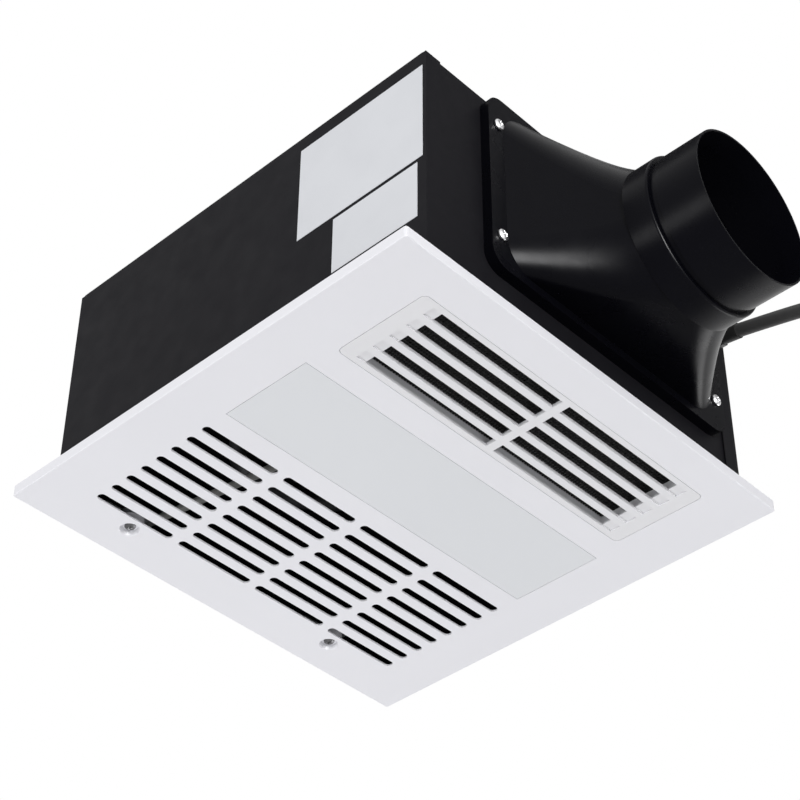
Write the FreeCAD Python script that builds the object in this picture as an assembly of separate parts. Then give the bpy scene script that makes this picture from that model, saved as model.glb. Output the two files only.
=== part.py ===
import FreeCAD, Part
import math
import os

os.makedirs("parts", exist_ok=True)
Vec = FreeCAD.Vector
UNIT_X = Vec(1, 0, 0)
UNIT_Y = Vec(0, 1, 0)
UNIT_Z = Vec(0, 0, 1)

# A ceiling unit that exhausts air, heats and lights. Millimetres, +Z up, +X out of the duct collar.
# The origin is the middle of the ceiling fixing holes, on the ceiling plane.

# Fits shared by all pieces
seat = 0.1
run_fit = 0.04
slip = 0.3
overrun = 2.0
tiny = 1e-6

# Housing of folded sheet
housing_x = 300.0
housing_y = 270.0
housing_top = 163.0
sheet = 1.0
fold_r = 1.4
tab_w = 12.0
top_setback = 3.0
wall_lip = 12.0
lip_w = 16.0
lip_inset = 20.0
fixing_half_x = 110.0
fixing_hole_r = 2.75

# Grille panel
panel_x = 316.0
panel_y = 316.0
panel_mid_y = -1.0
panel_depth = 7.0
panel_skin = 1.3
panel_rim = 2.2
panel_corner = 1.6
panel_inner_corner = 1.0
panel_edge_r = 0.6
grille_mid_y = -1.6
slot_rows = 8
slot_columns = 4
slot_w = 5.8
slot_len = 57.1
slot_pitch = 12.9
column_pitch = 63.4
slot_first_x = -30.2
hook_y = 127.0
hook_w = 7.0
hook_t = 2.4

# Panel screws, their dishes and brackets
panel_screw_x = -132.8
panel_screw_near_y = -90.6
panel_screw_far_y = 77.1
dish_r = 6.2
dish_floor_r = 4.9
dish_depth = 3.0
boss_wall = 2.0
panel_screw_head_r = 3.4
panel_screw_head_h = 2.0
screw_r = 1.5
screw_recess_r = 1.6
screw_recess_depth = 0.9
panel_screw_grip = 5.0
bracket_z = 1.1
bracket_t = 1.5
bracket_w = 18.0
bracket_leg = 16.0
bracket_over = 8.0

# Lamp
led_mid_x = 19.6
led_w = 63.0
led_len = 246.0
led_face = 2.2
led_lip = 2.4
led_lip_t = 1.2
tray_t = 1.0
tray_rise = 17.0
board_w = 20.0
board_end = 10.0
board_t = 1.6
board_gap = 12.0
chip_count = 12
chip_size = 3.5
chip_t = 0.9
driver_x = 82.0
driver_y = 36.0
driver_z = 22.0
driver_mid_x = 98.0
driver_mid_y = -112.0

# Heater outlet grille and guard
heater_mid_x = 102.7
heater_w = 64.5
heater_len = 237.0
heater_corner = 3.5
heater_face = 2.4
heater_lip = 3.0
heater_lip_t = 1.4
heater_rows = 5
heater_slot_w = 7.6
heater_slot_pitch = 12.3
heater_slot_reach = 108.0
heater_bar = 5.8
heater_blind = 7.5
heater_blind_t = 1.1
skirt_gap = 0.6
skirt_t = 1.6
skirt_top = 0.5
guard_t = 0.8
guard_rows = 12
guard_columns = 24
guard_wire = 0.9
guard_border = 2.0

# Heating element
box_t = 0.8
box_inset = 1.5
element_z = 12.0
element_h = 13.0
element_len = 204.0
element_gap = 6.0
bar_w = 7.0
bar_rows = 3
fin_count = 34
fin_gap = 2.6
fin_web = 0.8
end_cap_len = 9.0
end_cap_wall = 2.0
cutoff_r = 8.0
cutoff_h = 6.0
cutoff_z = 34.0
cutoff_pin_w = 1.2
cutoff_pin_len = 5.0

# Heater fan
fan_axis_x = 28.0
fan_axis_z = 41.0
fan_r = 19.0
fan_inner_r = 13.5
fan_len = 184.0
fan_mid_y = -8.0
fan_disc = 1.6
fan_blades = 20
fan_blade_t = 0.8
fan_shaft_r = 2.5
fan_shaft_end = 9.0
casing_t = 0.8
casing_gap = 3.5
casing_floor_gap = 1.0
bush_r = 6.0
bush_len = 6.0
fan_motor_r = 17.0
fan_motor_len = 26.0
guide_start_deg = 65.0
guide_end_deg = 205.0

# Deck, plenum wall and exhaust inlet
deck_z = 64.0
deck_t = 1.0
plenum_x = -17.0
sleeve_r = 2.6
sleeve_bore = 1.8
sleeve_z = 8.0
sleeve_near_y = -57.4
sleeve_far_y = -76.4
plenum_opening_z = 16.0
inlet_r = 51.5
inlet_round = 8.5
inlet_wall = 1.4
inlet_flange = 8.0

# Exhaust fan
wheel_x = -62.0
wheel_r = 58.0
wheel_inner_r = 48.0
wheel_z = 75.0
wheel_h = 66.0
wheel_blades = 36
wheel_blade_t = 1.0
wheel_blade_lean_deg = 8.0
wheel_bulge = 1.8
wheel_ring_t = 2.4
wheel_ring_w = 4.0
wheel_plate_t = 2.0
dish_wall_r = 41.0
dish_wall_t = 1.8
hub_r = 9.0
hub_z = 104.0
hub_h = 9.0
shaft_r = 4.0
nut_r = 7.0
nut_h = 5.0
shaft_tail = 3.0

# Exhaust motor
motor_r = 36.0
motor_wall = 1.2
motor_z = 118.0
motor_plate_r = 50.0
motor_plate_t = 1.6
motor_foot_r = 43.0
motor_foot_count = 3
foot_w = 10.0
foot_t = 2.0
grommet_r = 5.0
grommet_h = 4.0
foot_screw_head_h = 2.4
bearing_r = 10.0
bearing_h = 7.0
stator_bore = 21.0
stator_h = 19.0
rotor_gap = 0.6

# Scroll of the exhaust fan
scroll_r = 66.0
scroll_step = 9.0
scroll_t = 0.8
tongue_r = 5.0
outlet_low_y = -58.0

# Outlet opening in the duct wall
outlet_w = 146.0
outlet_h = 84.0
outlet_z = 110.0

# Duct adapter
adapter_y = 15.0
adapter_z = 94.5
flange_y = 207.0
flange_z = 135.0
flange_t = 6.5
flange_corner = 12.0
flange_hole_y = 191.0
flange_hole_z = 88.0
adapter_wall = 2.2
rim_wall = 1.2
rim_taper = 12.0
body_y = 182.0
body_z = 123.0
body_corner = 20.0
body_len = 50.0
body_sections = 5
body_step = 3.5
body_flare_share = 1.3
body_corner_share = 1.0
collar_z = 74.2
collar_r = 49.3
ring_r = 51.5
ring_len = 17.0
ring_edge_r = 1.4
groove_w = 4.0
groove_depth = 0.9
collar_len = 32.4
adapter_screw_head_r = 3.7
adapter_screw_head_h = 2.6
adapter_screw_grip = 4.0

# Damper
damper_back = 6.5
damper_lift = 10.0
damper_r = 45.5
damper_t = 1.4
damper_pin_r = 1.5
damper_lug = 3.2
damper_lug_r = 3.6
damper_gap = 0.5
knuckle_r = 2.9

# Supply lead and its gland
lead_r = 4.4
gland_y = 127.0
gland_z = 113.0
gland_r = 6.7
gland_base = 5.0
gland_nose = 15.0
gland_root_r = 5.7
gland_nose_r = 4.9
gland_thread_r = 4.8
gland_back = 12.0
gland_nut_h = 3.0
core_count = 5
core_r = 1.25
core_len = 28.0
core_ring_share = 0.55
core_splay_share = 0.1
tip_r = 0.6
tip_len = 8.0
LEAD_ROUTE = (
    (156.0, 127.0, 113.0),
    (192.0, 128.0, 105.2),
    (226.0, 129.5, 96.8),
    (246.0, 136.0, 85.5),
    (258.0, 147.0, 68.5),
    (261.5, 161.0, 49.5),
    (256.0, 177.5, 33.5),
    (243.0, 194.5, 22.5),
    (224.5, 209.5, 17.5),
    (203.0, 221.5, 16.5),
)
lead_arc_share = 0.45

# Wiring compartment
wiring_x = 48.0
wiring_y = 40.0
wiring_low = 82.0
wiring_high = 150.0
wiring_t = 0.8
terminal_x = 30.0
terminal_y = 16.0
terminal_z = 14.0
terminal_ways = 5
terminal_hole_r = 1.8
terminal_hole_depth = 6.0
earth_head_r = 3.2
earth_head_h = 2.0
capacitor_x = 38.0
capacitor_y = 20.0
capacitor_z = 28.0
capacitor_mid_x = -10.0
capacitor_mid_y = -118.0
capacitor_corner = 3.0

# Blank labels on the near side wall
label_t = 0.2
label_big_x = 97.0
label_big_z = 73.5
label_big_mid_x = 98.9
label_big_mid_z = 114.5
label_small_x = 64.0
label_small_z = 41.0
label_small_mid_x = 111.4
label_small_mid_z = 54.5

# Places that follow from the sizes above
half_x = housing_x / 2
half_y = housing_y / 2
wall_face = half_x - sheet - seat
wall_back = wall_face - sheet
side_face = half_y - sheet - seat
ceiling_inside = housing_top - sheet
skin_top = panel_skin - panel_depth
deck_top = deck_z + deck_t
board_len = led_len - 2 * board_end
ring_start = wall_face + seat + flange_t + body_len
ring_end = ring_start + ring_len
rim_x = ring_end + collar_len
damper_x = ring_end - damper_back
damper_z = collar_z + damper_lift
collar_bore = collar_r - adapter_wall


def block(x0, x1, y0, y1, z0, z1):
    low = Vec(min(x0, x1), min(y0, y1), min(z0, z1))
    return Part.makeBox(abs(x1 - x0), abs(y1 - y0), abs(z1 - z0), low)


def centred(mid_x, mid_y, size_x, size_y, z0, z1):
    return block(mid_x - size_x / 2, mid_x + size_x / 2, mid_y - size_y / 2, mid_y + size_y / 2, z0, z1)


def rod(radius, start, axis, length):
    return Part.makeCylinder(radius, length, start, axis)


def tube(outer, inner, start, axis, length):
    return rod(outer, start, axis, length).cut(rod(inner, start, axis, length))


def join(shapes):
    return shapes[0].multiFuse(shapes[1:]).removeSplitter()


def round_upright(shape, radius, axis=UNIT_Z):
    # Rounds the straight edges that run along the axis.
    edges = [e for e in shape.Edges if abs(e.tangentAt(e.FirstParameter).dot(axis)) > 1 - tiny]
    return shape.makeFillet(radius, edges)


def arc(first, middle, last):
    return Part.Arc(first, middle, last).toShape()


def line(first, last):
    return Part.LineSegment(first, last).toShape()


def prism(edges, push):
    return Part.Face(Part.Wire(edges)).extrude(push)


def long_slot(mid_x, mid_y, width, length, z0, z1):
    # A slot along Y with round ends.
    r = width / 2
    low = mid_y - length / 2 + r
    high = mid_y + length / 2 - r
    corners = [
        Vec(mid_x - r, low, z0),
        Vec(mid_x - r, high, z0),
        Vec(mid_x + r, high, z0),
        Vec(mid_x + r, low, z0),
    ]
    edges = [
        line(corners[0], corners[1]),
        arc(corners[1], Vec(mid_x, high + r, z0), corners[2]),
        line(corners[2], corners[3]),
        arc(corners[3], Vec(mid_x, low - r, z0), corners[0]),
    ]
    return prism(edges, Vec(0, 0, z1 - z0))


def hex_nut(radius, bore, start, axis, length):
    # A six-sided nut whose corners lie on the radius.
    turn = FreeCAD.Rotation(UNIT_Z, axis)
    sides = 6
    corners = []
    for i in range(sides + 1):
        angle = 2 * math.pi * i / sides
        corners.append(start + turn.multVec(Vec(radius * math.cos(angle), radius * math.sin(angle), 0)))
    body = Part.Face(Part.makePolygon(corners)).extrude(axis * length)
    return body.cut(rod(bore, start, axis, length))


def pan_screw(head, axis, head_r, head_h, shank):
    # A round-headed screw with a driver socket. The axis points from the head down the shank.
    dome = rod(head_r, head - axis * head_h, axis, head_h)
    rims = [e for e in dome.Edges if e.Closed and (e.CenterOfMass - head).Length > head_h / 2]
    dome = dome.makeFillet(head_h / 2, rims)
    socket = rod(screw_recess_r, head - axis * head_h, axis, screw_recess_depth)
    return join([dome.cut(socket), rod(screw_r, head, axis, shank)])


def save(name, shape):
    if isinstance(shape, list):
        shape = Part.makeCompound(shape)
    shape.exportStep("parts/" + name + ".step")
    print(name, len(shape.Solids), round(shape.Volume), shape.isValid())


def housing_wrap():
    # One folded sheet: the top, two side walls, corner tabs and out-turned fixing lips.
    top_end = half_x - top_setback
    bent = block(-top_end, top_end, -half_y, half_y, -sheet, housing_top)
    ridges = [e for e in bent.Edges if e.BoundBox.ZMin > ceiling_inside and e.BoundBox.XLength > half_x]
    bent = bent.makeFillet(fold_r, ridges)
    inner_y = half_y - sheet
    pieces = [bent.cut(block(-half_x, half_x, -inner_y, inner_y, -sheet - overrun, ceiling_inside))]
    for side in (-1, 1):
        outer = side * half_y
        inner = side * inner_y
        lip_end = half_x - lip_inset
        pieces.append(block(-lip_end, lip_end, inner, outer + side * lip_w, -sheet, 0))
        for end in (-1, 1):
            tab_end = outer - side * tab_w
            tab_top = housing_top - fold_r
            pieces.append(block(end * top_end, end * half_x, inner, outer, -sheet, tab_top))
            pieces.append(block(end * (half_x - sheet), end * half_x, tab_end, outer, 0, tab_top))
    body = join(pieces)
    holes = []
    for side in (-1, 1):
        for end in (-1, 1):
            foot = Vec(end * fixing_half_x, side * (half_y + lip_w / 2), -sheet - overrun)
            holes.append(rod(fixing_hole_r, foot, UNIT_Z, sheet + 2 * overrun))
    holes.append(gland_hole())
    return body.cut(holes)


def gland_hole():
    start = Vec(wall_back - overrun, gland_y, gland_z)
    return rod(gland_thread_r + seat, start, UNIT_X, half_x - wall_back + 2 * overrun)


def adapter_hole_places():
    places = []
    for y_side in (-1, 1):
        for z_side in (-1, 1):
            places.append((adapter_y + y_side * flange_hole_y / 2, adapter_z + z_side * flange_hole_z / 2))
    return places


def end_wall(end):
    # A flat wall with lips turned in at its top and foot.
    face = end * wall_face
    back = end * wall_back
    lip = end * (wall_face - wall_lip)
    top = ceiling_inside - seat
    plate = block(back, face, -side_face, side_face, 0, top)
    upper = block(lip, face, -side_face, side_face, top - sheet, top)
    lower = block(lip, face, -side_face, side_face, 0, sheet)
    return join([plate, upper, lower])


def duct_wall():
    opening = block(
        wall_back - overrun,
        wall_face + overrun,
        adapter_y - outlet_w / 2,
        adapter_y + outlet_w / 2,
        outlet_z - outlet_h / 2,
        outlet_z + outlet_h / 2,
    )
    cuts = [opening, gland_hole()]
    for y, z in adapter_hole_places():
        cuts.append(rod(screw_r + seat, Vec(wall_back - overrun, y, z), UNIT_X, sheet + 2 * overrun))
    return end_wall(1).cut(cuts)


def rounded_outline(x, mid_z, half_wide, half_high, corner):
    # Four corner arcs joined by straight runs, in an upright plane across the duct.
    root = math.sqrt(0.5)
    corners = []
    for y_side, z_side in ((1, 1), (-1, 1), (-1, -1), (1, -1)):
        cy = adapter_y + y_side * (half_wide - corner)
        cz = mid_z + z_side * (half_high - corner)
        on_y = Vec(x, cy + y_side * corner, cz)
        on_z = Vec(x, cy, cz + z_side * corner)
        mid = Vec(x, cy + y_side * corner * root, cz + z_side * corner * root)
        corners.append((on_y, mid, on_z) if y_side == z_side else (on_z, mid, on_y))
    edges = []
    for i, (first, mid, last) in enumerate(corners):
        edges.append(arc(first, mid, last))
        edges.append(line(last, corners[(i + 1) % len(corners)][0]))
    return Part.Wire(edges)


def body_section(along_share, inset):
    # A rounded rectangle that narrows until its corners reach the foot ring's outside.
    near_share = 1 - (1 - along_share) ** body_flare_share
    root = math.sqrt(2)
    end_half = ring_r - body_step
    end_corner = (end_half * root - ring_r + seat) / (root - 1)
    half_wide = body_y / 2 + (end_half - body_y / 2) * near_share - inset
    half_high = body_z / 2 + (end_half - body_z / 2) * near_share - inset
    corner = body_corner + (end_corner - body_corner) * along_share ** body_corner_share - inset
    mid_z = adapter_z + (collar_z - adapter_z) * near_share
    x = ring_start - body_len + (body_len - seat) * along_share
    return rounded_outline(x, mid_z, half_wide, half_high, corner)


def body_loft(inset):
    steps = body_sections - 1
    wires = [body_section(i / steps, inset) for i in range(body_sections)]
    return Part.makeLoft(wires, True, False)


def duct_adapter():
    # A flange and a body that narrows to the collar ring.
    flange_back = wall_face + seat
    flange = block(
        flange_back,
        flange_back + flange_t,
        adapter_y - flange_y / 2,
        adapter_y + flange_y / 2,
        adapter_z - flange_z / 2,
        adapter_z + flange_z / 2,
    )
    flange = round_upright(flange, flange_corner, UNIT_X)
    solid = join([flange, body_loft(0)])
    hollow = body_loft(adapter_wall)
    mouth = Part.Face(body_section(0, adapter_wall)).extrude(Vec(-flange_t - overrun, 0, 0))
    outlet = Part.Face(body_section(1, adapter_wall)).extrude(Vec(overrun, 0, 0))
    cuts = [hollow, mouth, outlet]
    for y, z in adapter_hole_places():
        cuts.append(rod(screw_r + seat, Vec(flange_back - overrun, y, z), UNIT_X, flange_t + 2 * overrun))
    return solid.cut(cuts)


def collar_ring():
    # A foot ring and a collar for the duct, with two lugs inside for the damper's pin.
    outline = [
        Vec(ring_start, 0, collar_bore),
        Vec(ring_start, 0, ring_r),
        Vec(ring_end - ring_edge_r, 0, ring_r),
        Vec(ring_end, 0, ring_r - ring_edge_r),
        Vec(ring_end, 0, collar_r - groove_depth),
        Vec(ring_end + groove_w, 0, collar_r - groove_depth),
        Vec(ring_end + groove_w, 0, collar_r),
        Vec(rim_x, 0, collar_r),
        Vec(rim_x, 0, collar_r - rim_wall),
        Vec(rim_x - rim_taper, 0, collar_bore),
    ]
    bend = ring_edge_r * (1 - math.sqrt(0.5))
    edges = [
        line(outline[0], outline[1]),
        line(outline[1], outline[2]),
        arc(outline[2], Vec(ring_end - bend, 0, ring_r - bend), outline[3]),
    ]
    for first, last in zip(outline[3:], outline[4:]):
        edges.append(line(first, last))
    edges.append(line(outline[-1], outline[0]))
    collar = Part.Face(Part.Wire(edges)).revolve(Vec(0, 0, 0), UNIT_X, 360)
    collar.translate(Vec(0, adapter_y, collar_z))
    lugs = []
    for side in (-1, 1):
        start = Vec(damper_x, adapter_y + side * lug_outer(), damper_z)
        lugs.append(rod(damper_lug_r, start, Vec(0, -side, 0), lug_outer() - lug_inner()))
    pin_room = lug_inner() + damper_lug - damper_gap
    start = Vec(damper_x, adapter_y - pin_room, damper_z)
    return join([collar] + lugs).cut(rod(damper_pin_r + run_fit, start, UNIT_Y, 2 * pin_room))


def lug_inner():
    # How far from the collar's middle the inner faces of the damper lugs stand.
    return math.sqrt(collar_bore ** 2 - (damper_lift + damper_lug_r) ** 2) - damper_lug / 2


def lug_outer():
    # How far the damper lugs reach into the ring's wall.
    return math.sqrt(((collar_bore + ring_r) / 2) ** 2 - damper_lift ** 2)


def adapter_screws():
    face = wall_face + seat + flange_t
    return [
        pan_screw(Vec(face, y, z), Vec(-1, 0, 0), adapter_screw_head_r, adapter_screw_head_h,
                  flange_t + seat + sheet + adapter_screw_grip)
        for y, z in adapter_hole_places()
    ]


def damper_flap():
    # A round flap, notched beside the lugs, with a sleeve for its pin.
    disc = rod(damper_r, Vec(damper_x - damper_t / 2, adapter_y, collar_z), UNIT_X, damper_t)
    sleeve_half = lug_inner() - damper_gap
    sleeve = rod(knuckle_r, Vec(damper_x, adapter_y - sleeve_half, damper_z), UNIT_Y, 2 * sleeve_half)
    notches = []
    for side in (-1, 1):
        near = adapter_y + side * sleeve_half
        far = adapter_y + side * (damper_r + overrun)
        reach = damper_lug_r + damper_gap
        notches.append(block(damper_x - reach, damper_x + reach, near, far, damper_z - reach, damper_z + reach))
    whole = join([disc.cut(notches), sleeve])
    start = Vec(damper_x, adapter_y - damper_r, damper_z)
    return whole.cut(rod(damper_pin_r + run_fit / 2, start, UNIT_Y, 2 * damper_r))


def damper_pin():
    reach = lug_inner() + damper_lug - 2 * damper_gap
    return rod(damper_pin_r, Vec(damper_x, adapter_y - reach, damper_z), UNIT_Y, 2 * reach)


def panel_screw_places():
    return [(panel_screw_x, panel_screw_near_y), (panel_screw_x, panel_screw_far_y)]


def heater_opening(grow, z0, z1):
    plate = centred(heater_mid_x, grille_mid_y, heater_w + 2 * grow, heater_len + 2 * grow, z0, z1)
    return round_upright(plate, heater_corner + grow)


def grille_panel():
    # The white face with its rim, intake slots and openings for the lamp and the heater grille.
    shell = round_upright(centred(0, panel_mid_y, panel_x, panel_y, -panel_depth, 0), panel_corner)
    low_edges = [e for e in shell.Edges if abs(e.BoundBox.ZMax + panel_depth) < tiny]
    shell = shell.makeFillet(panel_edge_r, low_edges)
    hollow = centred(0, panel_mid_y, panel_x - 2 * panel_rim, panel_y - 2 * panel_rim, skin_top, overrun)
    shell = shell.cut(round_upright(hollow, panel_inner_corner))
    extras = [shell]
    boss_r = dish_r + boss_wall
    for x, y in panel_screw_places():
        extras.append(rod(boss_r, Vec(x, y, skin_top), UNIT_Z, -slip - skin_top))
    hook_x = wall_face - wall_lip - slip
    for side in (-1, 1):
        low_y = side * hook_y - hook_w / 2
        high_y = low_y + hook_w
        hook_low = 2 * sheet
        extras.append(block(hook_x - hook_t, hook_x, low_y, high_y, skin_top, hook_low + hook_t))
        extras.append(block(hook_x, hook_x + wall_lip / 2, low_y, high_y, hook_low, hook_low + hook_t))
    panel = join(extras)
    low = -panel_depth - overrun
    high = skin_top + overrun
    cuts = [
        centred(led_mid_x, grille_mid_y, led_w + 2 * slip, led_len + 2 * slip, low, high),
        heater_opening(slip, low, high),
    ]
    for row in range(slot_rows):
        for column in range(slot_columns):
            x = slot_first_x - row * slot_pitch
            y = grille_mid_y + (column - (slot_columns - 1) / 2) * column_pitch
            cuts.append(long_slot(x, y, slot_w, slot_len, low, high))
    for x, y in panel_screw_places():
        cuts.append(Part.makeCone(dish_r, dish_floor_r, dish_depth, Vec(x, y, -panel_depth), UNIT_Z))
        cuts.append(rod(screw_r + seat, Vec(x, y, low), UNIT_Z, panel_depth + bracket_z + overrun))
    return panel.cut(cuts)


def grille_screws():
    floor = dish_depth - panel_depth
    length = bracket_z - floor + bracket_t + panel_screw_grip
    return [
        pan_screw(Vec(x, y, floor), UNIT_Z, panel_screw_head_r, panel_screw_head_h, length)
        for x, y in panel_screw_places()
    ]


def screw_brackets():
    # Angles on the rear wall that take the panel screws.
    found = []
    for x, y in panel_screw_places():
        low_y = y - bracket_w / 2
        high_y = y + bracket_w / 2
        start = -wall_back + seat
        shelf = block(start, x + bracket_over, low_y, high_y, bracket_z, bracket_z + bracket_t)
        leg = block(start, start + bracket_t, low_y, high_y, bracket_z, bracket_z + bracket_leg)
        hole = rod(screw_r + seat, Vec(x, y, bracket_z - overrun), UNIT_Z, bracket_t + 2 * overrun)
        found.append(join([shelf, leg]).cut(hole))
    return found


def led_diffuser():
    face = centred(led_mid_x, grille_mid_y, led_w, led_len, -panel_depth, led_face - panel_depth)
    neck_w = led_w - 2 * led_lip
    neck = centred(led_mid_x, grille_mid_y, neck_w, led_len - 2 * led_lip, -panel_depth, skin_top + seat)
    lip_low = skin_top + seat
    lip = centred(led_mid_x, grille_mid_y, led_w + 2 * led_lip, led_len + 2 * led_lip, lip_low, lip_low + led_lip_t)
    return join([face, neck, lip])


def tray_foot():
    return skin_top + seat + led_lip_t + seat


def tray_top():
    return tray_foot() + tray_rise


def led_tray():
    # An upturned pan over the diffuser that carries the lamp boards.
    wide = led_w + 2 * led_lip
    deep = led_len + 2 * led_lip
    outer = centred(led_mid_x, grille_mid_y, wide, deep, tray_foot(), tray_top())
    inner_low = tray_foot() - overrun
    inner = centred(led_mid_x, grille_mid_y, wide - 2 * tray_t, deep - 2 * tray_t, inner_low, tray_top() - tray_t)
    return outer.cut(inner)


def board_places():
    shift = (board_w + board_gap) / 2
    return [led_mid_x - shift, led_mid_x + shift]


def led_boards():
    top = tray_top() - tray_t - seat
    return [centred(x, grille_mid_y, board_w, board_len, top - board_t, top) for x in board_places()]


def led_chips():
    top = tray_top() - tray_t - seat - board_t
    pitch = board_len / chip_count
    found = []
    for x in board_places():
        for i in range(chip_count):
            y = grille_mid_y + (i - (chip_count - 1) / 2) * pitch
            found.append(centred(x, y, chip_size, chip_size, top - chip_t, top))
    return found


def led_driver():
    case = centred(driver_mid_x, driver_mid_y, driver_x, driver_y, deck_top + seat, deck_top + seat + driver_z)
    return round_upright(case, panel_corner)


def heater_slot(mid_x, side, width, inner, outer, z0, z1):
    low_y = grille_mid_y + side * inner
    high_y = grille_mid_y + side * outer
    return block(mid_x - width / 2, mid_x + width / 2, low_y, high_y, z0, z1)


def heater_slot_rows():
    return [heater_mid_x + (i - (heater_rows - 1) / 2) * heater_slot_pitch for i in range(heater_rows)]


def heater_grille():
    # The slotted white insert with upright walls behind its slots. Each slot ends in a shallow blind step.
    low = -panel_depth
    face = heater_opening(0, low, skin_top + seat)
    lip = heater_opening(heater_lip, skin_top + seat, skin_top + seat + heater_lip_t)
    half_w, half_l = skirt_half()
    wide = 2 * (half_w + skirt_t)
    deep = 2 * (half_l + skirt_t)
    skirt = centred(heater_mid_x, grille_mid_y, wide, deep, skin_top + seat, skirt_top)
    body = join([face, lip, skirt])
    top = skirt_top + overrun
    cuts = [centred(heater_mid_x, grille_mid_y, 2 * half_w, 2 * half_l, low + heater_face, top)]
    for x in heater_slot_rows():
        for side in (-1, 1):
            through = heater_slot_reach - heater_blind
            cuts.append(heater_slot(x, side, heater_slot_w, heater_bar / 2, through, low - overrun, top))
            blind = low + heater_blind_t
            cuts.append(heater_slot(x, side, heater_slot_w, heater_bar / 2, heater_slot_reach, low - overrun, blind))
    return body.cut(cuts)


def skirt_half():
    # Half the inside width and length of the upright walls round the slots.
    half_w = (heater_rows - 1) / 2 * heater_slot_pitch + heater_slot_w / 2 + skirt_gap
    return half_w, heater_slot_reach - heater_blind + skirt_gap


def guard_low():
    return skirt_top + seat


def guard_mesh():
    # A flat wire guard on top of the upright walls behind the slots.
    half_w, half_l = skirt_half()
    wide = 2 * (half_w + skirt_t)
    deep = 2 * (half_l + skirt_t)
    low = guard_low()
    plate = centred(heater_mid_x, grille_mid_y, wide, deep, low, low + guard_t)
    step_x = (wide - 2 * guard_border) / guard_rows
    step_y = (deep - 2 * guard_border) / guard_columns
    holes = []
    for row in range(guard_rows):
        for column in range(guard_columns):
            x = heater_mid_x + (row - (guard_rows - 1) / 2) * step_x
            y = grille_mid_y + (column - (guard_columns - 1) / 2) * step_y
            gap_x = step_x - guard_wire
            gap_y = step_y - guard_wire
            holes.append(centred(x, y, gap_x, gap_y, low - overrun, low + guard_t + overrun))
    return plate.cut(Part.makeCompound(holes))


def box_low():
    return skin_top + seat + heater_lip_t + seat


def box_half_x():
    return heater_w / 2 + box_inset


def box_half_y():
    return heater_len / 2


def heater_box():
    # A sheet box over the element, open below and towards the fan.
    high = deck_z - seat
    half_w = box_half_x()
    half_l = box_half_y()
    outer = centred(heater_mid_x, grille_mid_y, 2 * half_w, 2 * half_l, box_low(), high)
    wide = 2 * (half_w - box_t)
    deep = 2 * (half_l - box_t)
    inner = centred(heater_mid_x, grille_mid_y, wide, deep, box_low() - overrun, high - box_t)
    near = heater_mid_x - half_w
    mouth_low = element_z + element_h + 2 * end_cap_wall
    mouth_high = high - casing_t - slip
    mouth_y = fan_mid_y - fan_len / 2
    mouth = block(near - overrun, near + box_t + overrun, mouth_y, mouth_y + fan_len, mouth_low, mouth_high)
    return outer.cut([inner, mouth])


def element_lines():
    # The middle of each heating bar across the element.
    span = heater_w - 2 * element_gap
    return [heater_mid_x + (i - (bar_rows - 1) / 2) * (span - bar_w) / (bar_rows - 1) for i in range(bar_rows)]


def heater_bars():
    return [centred(x, grille_mid_y, bar_w, element_len, element_z, element_z + element_h) for x in element_lines()]


def heater_fins():
    # Finned packs between the bars, each with through gaps for the air.
    lines = element_lines()
    found = []
    for left, right in zip(lines, lines[1:]):
        x0 = left + bar_w / 2 + seat
        x1 = right - bar_w / 2 - seat
        low_y = grille_mid_y - element_len / 2
        pack = block(x0, x1, low_y, low_y + element_len, element_z, element_z + element_h)
        pitch = element_len / fin_count
        gaps = []
        for i in range(fin_count):
            y = low_y + (i + 0.5) * pitch
            low = element_z - overrun
            high = element_z + element_h + overrun
            gaps.append(block(x0 + fin_web, x1 - fin_web, y - fin_gap / 2, y + fin_gap / 2, low, high))
        found.append(pack.cut(Part.makeCompound(gaps)))
    return found


def element_ends():
    # Insulating caps that hold the element between the end walls of its box.
    found = []
    for side in (-1, 1):
        inner = element_len / 2 - end_cap_len / 2
        outer = box_half_y() - box_t - seat
        half_w = heater_w / 2 - element_gap + end_cap_wall
        y0 = grille_mid_y + side * inner
        y1 = grille_mid_y + side * outer
        low = element_z - end_cap_wall
        high = element_z + element_h + end_cap_wall
        cap = block(heater_mid_x - half_w, heater_mid_x + half_w, y0, y1, low, high)
        pocket_end = grille_mid_y + side * (element_len / 2 + seat)
        pocket_half = half_w - end_cap_wall + seat
        pocket = block(
            heater_mid_x - pocket_half, heater_mid_x + pocket_half, y0 - side * overrun, pocket_end,
            element_z - seat, element_z + element_h + seat
        )
        found.append(cap.cut(pocket))
    return found


def thermal_cutoff():
    wall_y = grille_mid_y - box_half_y() - seat
    disc = rod(cutoff_r, Vec(heater_mid_x, wall_y, cutoff_z), Vec(0, -1, 0), cutoff_h)
    parts = [disc]
    for side in (-1, 1):
        x = heater_mid_x + side * cutoff_r / 2
        end = wall_y - cutoff_h
        half = cutoff_pin_w / 2
        parts.append(block(x - half, x + half, end - cutoff_pin_len, end, cutoff_z - 2 * half, cutoff_z + 2 * half))
    return join(parts)


def casing_low():
    return tray_top() + casing_floor_gap


def casing_ends():
    return (fan_mid_y - fan_len / 2 - casing_gap, fan_mid_y + fan_len / 2 + casing_gap)


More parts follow.
